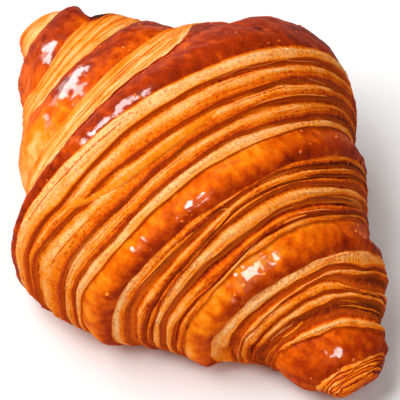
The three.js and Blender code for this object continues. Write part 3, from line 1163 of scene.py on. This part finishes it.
@dataclass(frozen=True)
class BakedDough:
    """Egg-washed crust and bare crumb in one finish, by each spot's bake with its painted shade.

    A noise's grain is its scale, for each metre. Each mottle lists how much the
    patchy, cloudy, streaky, speckled and grainy noises count.
    """

    name: str = "baked_dough"
    shades: tuple[tuple[float, Point], ...] = (
        (0.0, display(252, 202, 140)),  # cream
        (0.15, display(250, 172, 92)),  # straw
        (0.32, display(245, 134, 14)),  # gold
        (0.46, display(222, 90, 4)),  # amber
        (0.62, display(168, 50, 6)),  # russet
        (0.82, display(100, 21, 7)),  # umber
        (1.0, display(34, 10, 3)),  # char
    )
    # Groove and crease colour: partly their toasting, partly painted recess shade.
    ember: Point = display(214, 96, 16)
    pore: Point = display(212, 92, 14)
    palest: float = 0.05
    reach: float = 0.8
    pore_edge: Pair = (0.38, 0.47)
    pore_share: float = 0.65
    groove_share: float = 0.85
    grains: tuple[float, ...] = (70, 240, 700, 1100, 2400)
    details: tuple[float, ...] = (2, 3, 3, 2, 2)
    skin_mottle: tuple[float, ...] = (0.16, 0.36, 0.2, 0.24, 0.0)
    crumb_mottle: tuple[float, ...] = (0.14, 0.0, 0.0, 0.8, 0.45)
    bump_strength: float = 0.42
    bump_height: float = 0.0005
    coat_index: float = 2.2
    coat_roughness: float = 0.1

    def build(self) -> bpy.types.Material:
        """Build the material.

        Returns:
            The material.
        """
        material, graph = new_material(self.name)
        place = graph.node("ShaderNodeTexCoord").outputs["Object"]
        drawn = graph.first("ShaderNodeMapping", {"Vector": place, "Scale": (0.6, 1, 1)})
        places = (place, place, drawn, place, place)
        noises = [self._noise(graph, *rule)
                  for rule in zip(places, self.grains, self.details)]
        _, cloudy, streaky, speckled, grain = noises
        bake, crumb, groove, gloss = (self._attribute(graph, name) for name in LOOKS)

        skin_mottle = self._mottle(noises, self.skin_mottle)
        crumb_mottle = self._mottle(noises, self.crumb_mottle)
        # The bake carries the painted shade laid on in the bands.
        shaded_bake = (bake + skin_mottle * (1 - crumb) + crumb_mottle * crumb) * self.reach
        ramp = graph.node("ShaderNodeValToRGB", {"stops": self.shades},
                          {"Fac": shaded_bake.clamp(self.palest)})
        pores = (1 - speckled.step(*self.pore_edge)) * crumb * self.pore_share
        colour = self._mix(graph, pores, ramp.outputs["Color"], self.pore)
        colour = self._mix(graph, groove * self.groove_share, colour, self.ember)

        relief = (crumb * (speckled * 0.65 + grain * 0.35)
                  + (1 - crumb) * (streaky * 0.22 + cloudy * 0.3))
        bump = graph.first("ShaderNodeBump", {
            "Strength": self.bump_strength, "Distance": self.bump_height, "Height": relief})
        glaze = graph.first("ShaderNodeBsdfPrincipled", {
            "Base Color": colour, "Roughness": 0.5, "Specular IOR Level": 0.011,
            "Normal": bump, "Coat Weight": gloss, "Coat Roughness": self.coat_roughness,
            "Coat IOR": self.coat_index})
        bare = graph.first("ShaderNodeBsdfPrincipled", {
            "Base Color": colour, "Roughness": 0.9, "Specular IOR Level": 0.04,
            "Normal": bump})
        matt = (crumb * 3 + groove).clamp()
        shader = graph.first("ShaderNodeMixShader", {0: matt, 1: glaze, 2: bare})
        graph.node("ShaderNodeOutputMaterial", {}, {"Surface": shader})
        return material

    @staticmethod
    def _mottle(noises: list[Wire], shares: tuple[float, ...]) -> Wire:
        """Return the noises added up by their shares, with a mean of zero."""
        first, *rest = [(noise - 0.5) * share for noise, share in zip(noises, shares) if share]
        return sum(rest, first)

    @staticmethod
    def _attribute(graph: Graph, name: str) -> Wire:
        """Return a value stored on the mesh."""
        made = graph.node("ShaderNodeAttribute", {"attribute_name": name})
        return Wire(graph, made.outputs["Fac"])

    @staticmethod
    def _noise(graph: Graph, place: bpy.types.NodeSocket, scale: float, detail: float) -> Wire:
        """Return a noise pattern of this scale.

        Args:
            graph: The tree.
            place: Places to read it at.
            scale: Its scale.
            detail: Its finer octaves.

        Returns:
            The pattern.
        """
        made = graph.node("ShaderNodeTexNoise", {}, {
            "Vector": place, "Scale": scale, "Detail": detail, "Roughness": 0.6})
        return Wire(graph, made.outputs["Fac"])

    @staticmethod
    def _mix(graph: Graph, share: Wire, one: Any, two: Point) -> bpy.types.NodeSocket:
        """Return a blend of a linked colour and a constant one.

        Args:
            graph: The tree.
            share: Share of the second colour.
            one: The linked colour.
            two: The constant colour.

        Returns:
            The blend.
        """
        made = graph.node("ShaderNodeMix", {"data_type": "RGBA"})
        for number, value in ((0, share), (6, one), (7, (*two, 1))):
            graph.feed(made.inputs[number], value)
        return made.outputs[2]


@dataclass(frozen=True)
class PaleFloor:
    """Plain matt floor."""

    name: str = "pale_floor"
    colour: Point = display(240, 240, 240)

    def build(self) -> bpy.types.Material:
        """Build the material.

        Returns:
            The material.
        """
        material, graph = new_material(self.name)
        shader = graph.first("ShaderNodeBsdfPrincipled", {
            "Base Color": (*self.colour, 1), "Roughness": 0.9, "Specular IOR Level": 0.1})
        graph.node("ShaderNodeOutputMaterial", {}, {"Surface": shader})
        return material


# Pieces

# Each piece of crust, and its first band
PARTS = (
    ("crust_far_tip", 0),
    ("crust_far_wrap", 8),
    ("crust_middle_wrap", 14),
    ("crust_near_wrap", 20),
    ("crust_near_layers", 27),
    ("crust_near_tip", 32),
)


@dataclass
class Crust:
    """The roll itself, in pieces that meet where one wrap ends and the next starts.

    shown_reach is how far down, in degrees, the columns of points are close together.
    """

    finish: bpy.types.Material
    form: RollForm = field(default_factory=RollForm)
    layering: Layering = field(default_factory=Layering)
    shown_columns: int = 500
    under_columns: int = 60
    shown_reach: float = 118.0
    end_bake: float = 0.4

    def __post_init__(self) -> None:
        """Spread the columns and shape the bands on them."""
        reach = self.shown_reach
        shown = np.linspace(-reach, reach, self.shown_columns, endpoint=False)
        under = np.linspace(reach, 360 - reach, self.under_columns, endpoint=False)
        angle = np.radians(np.concatenate([shown, under]))
        self.angle = np.where(angle > math.pi, angle - 2 * math.pi, angle)
        maker = BandMaker(self.form, self.layering, self.angle)
        self.bands = [maker.rings(i) for i in range(len(BANDS))]

    def build(self) -> list[bpy.types.Object]:
        """Build the pieces.

        Returns:
            The pieces, from the far tip to the near one.
        """
        last_x = np.full((1, len(self.angle)), ROLL_END)
        bands = [*self.bands, Rings.spread(last_x, 0.0, self.end_bake, 1.0, 0.0, 0.0)]
        stops = [first for _, first in PARTS[1:]] + [len(BANDS)]
        pieces = []
        for (name, first), stop in zip(PARTS, stops):
            rings = Rings.join([*bands[first:stop], bands[stop].rows(slice(0, 1))])
            tips = {}
            if first == 0:
                tips[0] = SECTIONS[0].x
            if stop == len(BANDS):
                tips[len(rings.x) - 1] = SECTIONS[-1].x
            pieces.append(self._piece(name, rings, tips))
        return pieces

    def sheet(self, name: str, crusty: bool) -> bpy.types.Object:
        """Return bands as an open sheet, for small things to be scattered on.

        Args:
            name: Name of the sheet.
            crusty: True for the bands of crust, and False for the layers.

        Returns:
            The sheet, with a vector that runs along the bands stored on it.
        """
        margin = 6
        shown = np.abs(np.degrees(self.angle)) < self.shown_reach - margin
        chosen = [rings for band, rings in zip(BANDS, self.bands)
                  if (band.kind is Kind.SKIN) == crusty]
        points, along, faces, count = [], [], [], 0
        for rings in chosen:
            grid = self.surface(rings)
            step = np.roll(grid, -1, axis=1) - grid
            index = count + np.arange(len(grid) * shown.sum()).reshape(len(grid), -1)
            faces += self._quads(index[:-1, :-1], index[1:, :-1], index[1:, 1:],
                                 index[:-1, 1:])
            points.append(grid[:, shown].reshape(-1, 3))
            along.append(step[:, shown].reshape(-1, 3))
            count += index.size
        values = {key: np.concatenate([getattr(rings, key)[:, shown].ravel()
                                       for rings in chosen]) for key in LOOKS}
        values["along"] = np.vstack(along)
        return mesh_object(name, (np.vstack(points) * MM).tolist(), faces, values=values,
                           soft=False)

    @staticmethod
    def _quads(*corners: np.ndarray) -> list[list[int]]:
        """Return the faces whose four corners these grids of numbers give."""
        return np.stack(corners, axis=-1).reshape(-1, 4).tolist()

    def surface(self, rings: Rings) -> np.ndarray:
        """Return the finished points of a grid of rings, in millimetres.

        Args:
            rings: The grid.

        Returns:
            Points, with three columns last.
        """
        angle = np.broadcast_to(self.angle, rings.x.shape)
        under = eased(np.abs(angle), 2.0, 0.6)
        lift = (rings.height - self.layering.hollow(rings.x, angle)) * (1 - 0.9 * under)
        lift = lift * np.minimum(1, self.form.size("half", rings.x) / 6)
        points = self.form.point(rings.x, angle)
        points = points + self.form.normal(rings.x, angle) * lift[..., None]
        points[..., 2] = np.maximum(points[..., 2], 0)
        return points - MIDDLE

    def _piece(self, name: str, rings: Rings, tips: dict[int, float]) -> bpy.types.Object:
        """Return a piece made of rings.

        Args:
            name: Name of the piece.
            rings: The grid of its surface.
            tips: Places of the tips that close it, by the number of the ring next to each.

        Returns:
            The finished object.
        """
        rows, columns = rings.x.shape
        index = np.arange(rows * columns).reshape(rows, columns)
        turned = np.roll(index, -1, axis=1)
        faces = self._quads(index[:-1], index[1:], turned[1:], turned[:-1])
        points = self.surface(rings).reshape(-1, 3)
        values = {key: getattr(rings, key).ravel() for key in LOOKS}
        for row, x in tips.items():
            pole = len(points)
            points = np.vstack([points, self.form.point(np.array(x), np.array(0.0)) - MIDDLE])
            values = {key: np.append(v, v[row * columns]) for key, v in values.items()}
            fan = [(pole, a, b) for a, b in zip(index[row].tolist(), turned[row].tolist())]
            faces += fan if row == 0 else [face[::-1] for face in fan]
        piece = mesh_object(name, (points * MM).tolist(), faces, values=values)
        piece.data.materials.append(self.finish)
        return piece


@dataclass
class Ground:
    """The finished surface of the crust, to lay small things on."""

    crust: Crust
    pieces: list[bpy.types.Object]
    search: float = 8.0

    def __post_init__(self) -> None:
        """Gather the faces of every piece."""
        points: list[Point] = []
        faces: list[tuple[int, ...]] = []
        for piece in self.pieces:
            start = len(points)
            points += [tuple(vertex.co) for vertex in piece.data.vertices]
            faces += [tuple(i + start for i in face.vertices) for face in piece.data.polygons]
        self.tree = BVHTree.FromPolygons(points, faces)

    def land(self, x: float, degrees: float, lift: float) -> Point:
        """Return a point just over the surface, in metres.

        Args:
            x: Place along the roll.
            degrees: Angle from the crest.
            lift: Height over the surface, in millimetres.

        Returns:
            The point.
        """
        place, angle = np.array(x), np.array(math.radians(degrees))
        base = Vector((self.crust.form.point(place, angle) - MIDDLE) * MM)
        out = Vector(self.crust.form.normal(place, angle))
        hit = self.tree.ray_cast(base + out * self.search * MM, -out)[0] or base
        return tuple(hit + out * lift * MM)


@dataclass(frozen=True)
class Fold:
    """A fold or thread of dough on the layers. Its path gives places and degrees.

    lift is the height of its middle over the surface, as a share of its thickness.
    """

    path: tuple[tuple[float, float], ...]
    thick: float
    bake: float
    crumb: float = 0.3
    lift: float = 0.15


FOLDS = (
    Fold(((14.0, -59), (15.0, -52), (16.3, -47), (17.7, -42), (18.6, -35), (18.9, -22),
          (18.8, -10), (18.2, 0), (17.5, 7)), 1.15, 0.42, 0.3, -0.5),
    Fold(((11.9, -85), (12.4, -70), (13.2, -60), (14.6, -51)), 0.5, 0.46, 0.4),
    Fold(((32.9, -19.5), (33.9, -17), (34.6, -14), (35.2, -17), (36.0, -26), (36.6, -33),
          (37.2, -43)), 0.26, 0.38),
    Fold(((60.7, -22), (61.5, -32), (61.7, -42), (61.5, -50)), 0.28, 0.4),
    Fold(((42.6, -14), (43.2, -24), (43.6, -34), (43.9, -44)), 0.3, 0.32),
    Fold(((64.9, -8), (66.3, -7), (68.0, -5)), 0.62, 0.6, 0.0, -0.45),
    Fold(((65.1, -1), (66.5, 0), (67.8, 1)), 0.55, 0.58, 0.0, -0.45),
    Fold(((65.2, 6), (66.4, 7), (67.4, 8)), 0.5, 0.6, 0.0, -0.45),
)


@dataclass
class Threads:
    """Folds at their places, and fine threads drawn along the layers by rule.

    runs gives the number of fine threads on each band.
    """

    finish: bpy.types.Material
    ground: Ground
    name: str = "crust_threads"
    seed: int = 41
    runs: tuple[tuple[int, int], ...] = (
        (3, 5), (4, 4), (5, 4), (6, 5), (8, 6), (9, 8), (10, 9), (11, 7), (14, 4), (15, 12),
        (16, 12), (17, 9), (18, 3), (20, 9), (21, 8), (23, 12), (24, 6), (27, 8), (29, 8),
        (30, 12), (33, 3))
    sides: int = 7
    fineness: float = 0.5
    steepest: float = 0.7
    degree_length: float = 0.7
    spacing: float = 0.9
    stops: int = 9
    middles: Pair = (-85, 75)
    reaches: Pair = (7, 26)
    shares: Pair = (0.12, 0.9)
    slants: Pair = (-0.35, 0.35)
    clear: Pair = (0.06, 0.97)
    thicknesses: Pair = (0.1, 0.19)
    bakes: Pair = (0.28, 0.6)
    crumb: float = 0.2

    def build(self) -> bpy.types.Object:
        """Build all of them.

        Returns:
            One piece.
        """
        points: list[Point] = []
        edges: list[tuple[int, int]] = []
        values: dict[str, list[float]] = {key: [] for key in ("thick", *LOOKS)}
        for fold in [*FOLDS, *self._fine()]:
            laid = self._lay(fold)
            edges += [(len(points) + i, len(points) + i + 1) for i in range(len(laid) - 1)]
            points += laid
            looks = (fold.thick * MM, fold.bake, fold.crumb, 0.0, 0.0)
            for row, value in zip(values.values(), looks):
                row += [value] * len(laid)
        return self._tubes(mesh_object(self.name, points, [], edges, values))

    def _lay(self, fold: Fold) -> list[Point]:
        """Return close points of a fold, on the surface.

        Args:
            fold: The fold.

        Returns:
            The points, in metres.
        """
        stops = np.array(fold.path)
        legs = np.hypot(np.diff(stops[:, 0]), np.diff(stops[:, 1]) * self.degree_length)
        run = np.concatenate([[0], np.cumsum(legs)])
        steps = np.linspace(0, run[-1], max(6, int(run[-1] / self.spacing)))
        x, degrees = (np.interp(steps, run, stops[:, i]) for i in (0, 1))
        lift = fold.lift * fold.thick
        laid = np.array([self.ground.land(*place, lift) for place in zip(x, degrees)])
        for _ in range(3):
            padded = np.pad(laid, ((1, 1), (0, 0)), mode="edge")
            laid = (padded[:-2] + 2 * padded[1:-1] + padded[2:]) / 4
        return [tuple(point) for point in laid]

    def _fine(self) -> list[Fold]:
        """Draw fine threads with a fixed seed.

        Returns:
            The threads, in the order of the bands.
        """
        draw = np.random.default_rng(self.seed)
        found = []
        for index in (index for index, count in self.runs for _ in range(count)):
            middle = draw.uniform(*self.middles)
            reach = draw.uniform(*self.reaches)
            share = draw.uniform(*self.shares)
            slant = draw.uniform(*self.slants)
            degrees = np.linspace(middle - reach, middle + reach, self.stops)
            starts = self.ground.crust.layering.starts(np.radians(degrees))
            width = starts[index + 1] - starts[index]
            slant *= min(1.0, self.steepest / float(width.mean()))
            across = np.clip(share + slant * np.linspace(-1, 1, self.stops), *self.clear)
            path = tuple(zip(starts[index] + across * width, degrees))
            thick, bake = draw.uniform(*self.thicknesses), draw.uniform(*self.bakes)
            found.append(Fold(path, thick, bake, self.crumb))
        return found

    def _tubes(self, base: bpy.types.Object) -> bpy.types.Object:
        """Turn the paths into closed threads that taper at both ends.

        Args:
            base: The object that holds the paths.

        Returns:
            The same object, with the threads.
        """
        shaper = Shaper("thread_tubes", {
            "Step": self.fineness * MM, "Sides": self.sides, "Finish": self.finish})
        graph = shaper.graph
        curve = graph.first("GeometryNodeMeshToCurve", {"Mesh": shaper.entry["Mesh"]})
        even = graph.node("GeometryNodeResampleCurve", {"mode": "LENGTH"}, {
            "Curve": curve, "Length": shaper.entry["Step"]}).outputs[0]
        along = Wire(graph, graph.node("GeometryNodeSplineParameter").outputs["Factor"])
        rounded = (along * (1 - along) * 9).clamp()
        ring = graph.first("GeometryNodeCurvePrimitiveCircle", {
            "Resolution": shaper.entry["Sides"], "Radius": 1.0})
        tube = graph.first("GeometryNodeCurveToMesh", {
            "Curve": even, "Profile Curve": ring, "Fill Caps": True,
            "Scale": shaper.stored("thick") * (rounded * 0.85 + 0.15)})
        return shaper.run(base, tube)


@dataclass
class Blisters:
    """Small bubbles in the egg-washed crust, in clouds where it is dark."""

    finish: bpy.types.Material
    crust: Crust
    name: str = "crust_blisters"
    smallest: float = 0.16
    largest: float = 0.62
    flatness: float = 0.62
    crowd: float = 0.24
    cloud_scale: float = 120.0
    cloud_edge: Pair = (0.5, 0.68)
    dark_edge: Pair = (0.5, 0.75)
    paler: float = 0.22
    gloss: float = 0.2
    seed: int = 7

    def build(self) -> bpy.types.Object:
        """Build all of them.

        Returns:
            One piece.
        """
        shaper = Shaper("blister_scatter", {
            "Smallest": self.smallest * MM, "Largest": self.largest * MM,
            "Crowd": self.crowd / MM**2, "Seed": self.seed, "Finish": self.finish})
        graph = shaper.graph
        place = graph.node("GeometryNodeInputPosition").outputs[0]
        noise = graph.node("ShaderNodeTexNoise", {}, {
            "Vector": place, "Scale": self.cloud_scale, "Detail": 1.0})
        cloud = Wire(graph, noise.outputs["Fac"]).step(*self.cloud_edge)
        bake = shaper.stored("bake")
        points = shaper.scatter(cloud * bake.step(*self.dark_edge))
        ball = graph.node("GeometryNodeMeshUVSphere", {}, {
            "Segments": 8, "Rings": 5, "Radius": 1.0}).outputs["Mesh"]
        lot = shaper.draw(0.0, 1.0, 3)
        small, large = shaper.wire("Smallest"), shaper.wire("Largest")
        size = small + (large - small) * lot * lot * lot
        placed = shaper.place(points["Points"], ball, points["Rotation"],
                              size, size, size * self.flatness)
        placed = shaper.store(placed, "bake", bake - self.paler)
        placed = shaper.store(placed, "gloss", self.gloss)
        return shaper.run(self.crust.sheet(self.name, crusty=True), placed)


@dataclass
class Flakes:
    """Slivers of dough that stand a little off the cut layers."""

    finish: bpy.types.Material
    crust: Crust
    name: str = "crust_flakes"
    crowd: float = 0.09
    shortest: float = 0.7
    longest: float = 2.3
    thickness: float = 0.3
    widths: Pair = (0.14, 0.3)
    browner: Pair = (0.04, 0.2)
    crumb: float = 0.3
    seed: int = 23

    def build(self) -> bpy.types.Object:
        """Build all of them.

        Returns:
            One piece.
        """
        leaf = self._leaf()
        shaper = Shaper("flake_scatter", {
            "Leaf": leaf, "Shortest": self.shortest * MM, "Longest": self.longest * MM,
            "Crowd": self.crowd / MM**2, "Seed": self.seed, "Finish": self.finish})
        graph = shaper.graph
        points = shaper.scatter(shaper.stored("crumb"))
        length = shaper.draw(shaper.entry["Shortest"], shaper.entry["Longest"], 5)
        width = shaper.draw(*self.widths, 6)
        turned = graph.node(
            "FunctionNodeAlignRotationToVector", {"axis": "X", "pivot_axis": "Z"}, {
                "Rotation": points["Rotation"],
                "Vector": shaper.stored("along", "FLOAT_VECTOR")}).outputs[0]
        shape = graph.node("GeometryNodeObjectInfo", {}, {"Object": shaper.entry["Leaf"]})
        placed = shaper.place(points["Points"], shape.outputs["Geometry"], turned,
                              length, length * width, length * self.thickness)
        bake = shaper.stored("bake") + shaper.draw(*self.browner, 8)
        placed = shaper.store(placed, "bake", bake)
        placed = shaper.store(placed, "crumb", self.crumb)
        piece = shaper.run(self.crust.sheet(self.name, crusty=False), placed)
        bpy.data.objects.remove(leaf)
        return piece

    @staticmethod
    def _leaf() -> bpy.types.Object:
        """Make a closed leaf, one unit long, with its tips turned up.

        Returns:
            The leaf.
        """
        rows, columns, thick = 6, 3, 0.07
        points = []
        for side in (1, -1):
            for i in range(rows):
                t = 2 * i / (rows - 1) - 1
                half = 0.5 * max(0.0, 1 - t * t) ** 0.6 + 0.02
                for j in range(columns):
                    w = 2 * j / (columns - 1) - 1
                    curl = 0.16 * t * t + 0.05 * t
                    skin_height = side * thick * (1 - 0.7 * w * w) * (1.05 - t * t)
                    points.append((0.5 * t, half * w, curl + skin_height))
        index = np.arange(rows * columns).reshape(rows, columns)
        top = np.stack([index[:-1, :-1], index[1:, :-1], index[1:, 1:], index[:-1, 1:]],
                       axis=-1).reshape(-1, 4).tolist()
        below = rows * columns
        faces = top + [[below + k for k in face[::-1]] for face in top]
        rim = [*index[0], *index[1:, -1], *index[-1, -2::-1], *index[-2:0:-1, 0]]
        rim = [int(k) for k in rim]
        faces += [(a, b, b + below, a + below) for a, b in zip(rim, rim[1:] + rim[:1])]
        return mesh_object("leaf", points, faces)


# Stage


@dataclass(frozen=True)
class SoftBox:
    """A square light: its direction, distance and width in metres, and power in watts."""

    name: str
    heading: Point
    away: float
    size: float
    power: float


LIGHTS = (
    SoftBox("key", (-0.1, -0.5, 0.85), 1.1, 0.55, 8.2),
    SoftBox("glint", (-0.34, -0.12, 0.93), 1.1, 0.5, 4.2),
    SoftBox("window", (-0.955, -0.07, 0.26), 1.2, 0.6, 5.2),
    SoftBox("edge", (0.58, -0.15, 0.8), 1.1, 0.46, 3.0),
)


@dataclass
class Studio:
    """Floor, lights and the camera at the photograph's angle."""

    azimuth: float = 55.2
    elevation: float = 50.0
    distance: float = 0.6
    aim: Point = (12.95, -2.95, 25.0)
    lens: float = 216.0
    sensor: float = 36.0
    surround: tuple[float, ...] = (1, 0.98, 0.96, 1)
    surround_light: float = 0.16
    floor_reach: float = 3.0

    def build(self) -> bpy.types.Object:
        """Make everything round the croissant.

        Returns:
            The floor.
        """
        self._camera()
        self._world()
        for box in LIGHTS:
            self._light(box)
        bpy.context.scene.view_settings.view_transform = "Standard"
        return self._floor()

    @staticmethod
    def _aimed(name: str, data: Any, back: Vector, place: Vector) -> bpy.types.Object:
        """Return a camera or light at a place, with its back this way.

        Args:
            name: Its name.
            data: Its data.
            back: Direction in which its back points.
            place: Where it stands.

        Returns:
            The object.
        """
        made = add_object(name, data)
        made.location = place
        made.rotation_euler = back.to_track_quat("Z", "Y").to_euler()
        return made

    def _camera(self) -> None:
        """Place the camera."""
        data = bpy.data.cameras.new("camera")
        data.lens = self.lens
        data.sensor_width = self.sensor
        data.clip_start = 0.01
        turn, rise = math.radians(self.azimuth), math.radians(self.elevation)
        back = Vector((math.sin(turn) * math.cos(rise), -math.cos(turn) * math.cos(rise),
                       math.sin(rise)))
        place = Vector(self.aim) * MM + back * self.distance
        bpy.context.scene.camera = self._aimed("camera", data, back, place)

    def _world(self) -> None:
        """Set an even pale surround."""
        world = bpy.data.worlds.new("surround")
        world.use_nodes = True
        graph = Graph(world.node_tree)
        shade = graph.first("ShaderNodeBackground", {
            "Color": self.surround, "Strength": self.surround_light})
        graph.node("ShaderNodeOutputWorld", {}, {"Surface": shade})
        bpy.context.scene.world = world

    def _light(self, box: SoftBox) -> None:
        """Place a soft box.

        Args:
            box: The soft box.
        """
        data = bpy.data.lights.new(box.name, "AREA")
        data.size = box.size
        data.energy = box.power
        back = Vector(box.heading).normalized()
        self._aimed(box.name, data, back, back * box.away)

    def _floor(self) -> bpy.types.Object:
        """Make the floor.

        Returns:
            The floor.
        """
        reach = self.floor_reach
        corners = [(-reach, -reach, 0), (reach, -reach, 0), (reach, reach, 0),
                   (-reach, reach, 0)]
        floor = mesh_object("floor", corners, [(0, 1, 2, 3)], soft=False)
        floor.data.materials.append(PaleFloor().build())
        return floor


def main() -> None:
    """Build the croissant and its studio in order."""
    logging.basicConfig(level=logging.INFO, format="%(name)s: %(message)s")
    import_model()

    Studio().build()
    dough = BakedDough().build()
    crust = Crust(dough)
    shells = crust.build()
    small = [
        Threads(dough, Ground(crust, shells)).build(),
        Blisters(dough, crust).build(),
        Flakes(dough, crust).build(),
    ]
    for piece in [*shells, *small]:
        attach(piece, "root")
        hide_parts(NODE)
        LOG.info("%s: %d faces", piece.name, len(piece.data.polygons))


if __name__ == "__main__":
    main()
